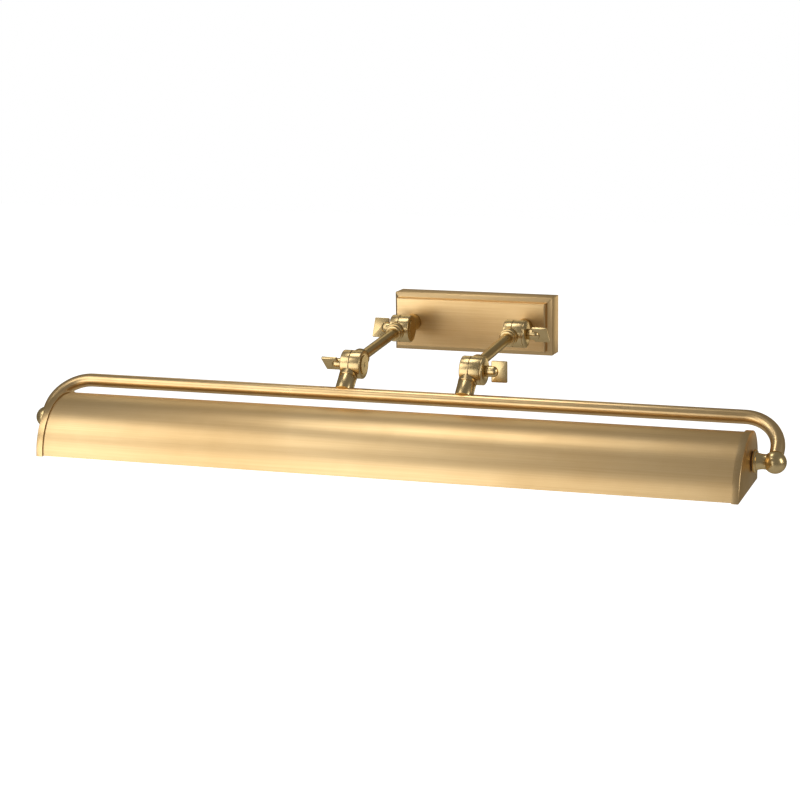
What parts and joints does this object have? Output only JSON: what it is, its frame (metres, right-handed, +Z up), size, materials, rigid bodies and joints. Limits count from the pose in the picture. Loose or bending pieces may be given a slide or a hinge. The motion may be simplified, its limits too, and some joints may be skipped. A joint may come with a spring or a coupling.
{
  "type": "picture light",
  "caption": "Wall-mounted picture light: stepped brass plate, swivel arms with thumb keys, bent round rail and a long half-round shade that tilts between turned end balls",
  "frame": {"origin": "centre of the wall plate's back face, on the wall", "axes": "+X along the shade to the viewer's right, +Y into the wall, +Z up; the light stands out towards -Y"},
  "size_m": [0.722, 0.3321, 0.1211],
  "materials": {
    "plate_brass": "aged brass, fine horizontal brushing, satin lacquer",
    "knuckle_brass": "aged brass, turned, satin lacquer",
    "arm_brass": "aged brass tube, satin lacquer",
    "rail_brass": "aged brass tube, satin lacquer",
    "shade_brass": "aged brass sheet, lightly brushed along its length, satin lacquer",
    "screw_brass": "turned brass",
    "key_brass": "aged brass, satin",
    "zinc_steel": "zinc-plated steel",
    "tray_paint": "white enamelled steel",
    "fibre": "vulcanised fibre",
    "black_rubber": "soft rubber",
    "terminal_plastic": "moulded polyamide",
    "holder_plastic": "moulded phenolic lampholder",
    "lamp_glass": "clear lamp glass",
    "lamp_base_metal": "aluminium lamp base"
  },
  "bodies": {
    "wall_mount": {"wall_plate": "plate_brass", "wall_bracket": "zinc_steel", "cover_screws": "zinc_steel", "terminal_block": "terminal_plastic", "terminal_screws": "screw_brass", "earth_terminal": "zinc_steel", "inlet_grommet": "black_rubber", "left_wall_eye": "knuckle_brass", "right_wall_eye": "knuckle_brass", "left_boss_sleeve": "knuckle_brass", "right_boss_sleeve": "knuckle_brass", "boss_nuts": "zinc_steel", "boss_washers": "zinc_steel", "left_wall_pivot_screw": "screw_brass", "wall_friction_washers": "fibre", "right_wall_cup_washer": "knuckle_brass"},
    "arm_pair": {"left_arm_rear_eye": "knuckle_brass", "right_arm_rear_eye": "knuckle_brass", "left_arm_tube": "arm_brass", "right_arm_tube": "arm_brass", "left_arm_front_eye": "knuckle_brass", "right_arm_front_eye": "knuckle_brass", "left_front_pivot_screw": "screw_brass", "right_wall_pivot_screw": "screw_brass", "front_friction_washers": "fibre", "right_front_cup_washer": "knuckle_brass"},
    "rail_frame": {"left_stem_eye": "knuckle_brass", "right_stem_eye": "knuckle_brass", "left_stem_ferrule": "knuckle_brass", "right_stem_ferrule": "knuckle_brass", "rail_tube": "rail_brass", "left_end_ball": "rail_brass", "right_end_ball": "rail_brass", "pivot_washers": "fibre", "pivot_nuts": "zinc_steel", "right_front_pivot_screw": "screw_brass"},
    "lamp_shade": {"shade_sheet": "shade_brass", "left_end_cap": "shade_brass", "right_end_cap": "shade_brass", "end_cap_screws": "zinc_steel", "wiring_tray": "tray_paint", "holder_brackets": "zinc_steel", "lampholder_1": "holder_plastic", "lampholder_2": "holder_plastic", "lampholder_3": "holder_plastic", "lampholder_4": "holder_plastic", "lamp_glass_1": "lamp_glass", "lamp_glass_2": "lamp_glass", "lamp_glass_3": "lamp_glass", "lamp_glass_4": "lamp_glass", "lamp_bases": "lamp_base_metal"},
    "left_wall_key": {"left_wall_key_hub": "key_brass", "left_wall_key_blade": "key_brass"},
    "left_front_key": {"left_front_key_hub": "key_brass", "left_front_key_blade": "key_brass"},
    "right_wall_key": {"right_wall_key_hub": "key_brass", "right_wall_key_blade": "key_brass"},
    "right_front_key": {"right_front_key_hub": "key_brass", "right_front_key_blade": "key_brass"}
  },
  "joints": [
    {"name": "arm_lift", "type": "hinge", "parent": "wall_mount", "child": "arm_pair", "pos_m": [0, -0.0744, 0.00065], "axis": [1, 0, 0], "range_deg": [-75, 60]},
    {"name": "rail_swing", "type": "hinge", "parent": "arm_pair", "child": "rail_frame", "pos_m": [0, -0.21235, -0.01166], "axis": [1, 0, 0], "range_deg": [-90, 50]},
    {"name": "shade_tilt", "type": "hinge", "parent": "rail_frame", "child": "lamp_shade", "pos_m": [0, -0.27165, -0.06709], "axis": [1, 0, 0], "range_deg": [-40, 90]},
    {"name": "left_wall_key_turn", "type": "hinge", "parent": "wall_mount", "child": "left_wall_key", "pos_m": [-0.0672, -0.0744, 0.00065], "axis": [1, 0, 0], "range_deg": [-180, 180]},
    {"name": "left_front_key_turn", "type": "hinge", "parent": "arm_pair", "child": "left_front_key", "pos_m": [-0.0672, -0.21235, -0.01166], "axis": [1, 0, 0], "range_deg": [-180, 180]},
    {"name": "right_wall_key_turn", "type": "hinge", "parent": "arm_pair", "child": "right_wall_key", "pos_m": [0.0727, -0.0744, 0.00065], "axis": [1, 0, 0], "range_deg": [-180, 180]},
    {"name": "right_front_key_turn", "type": "hinge", "parent": "rail_frame", "child": "right_front_key", "pos_m": [0.0727, -0.21235, -0.01166], "axis": [1, 0, 0], "range_deg": [-180, 180]}
  ]
}
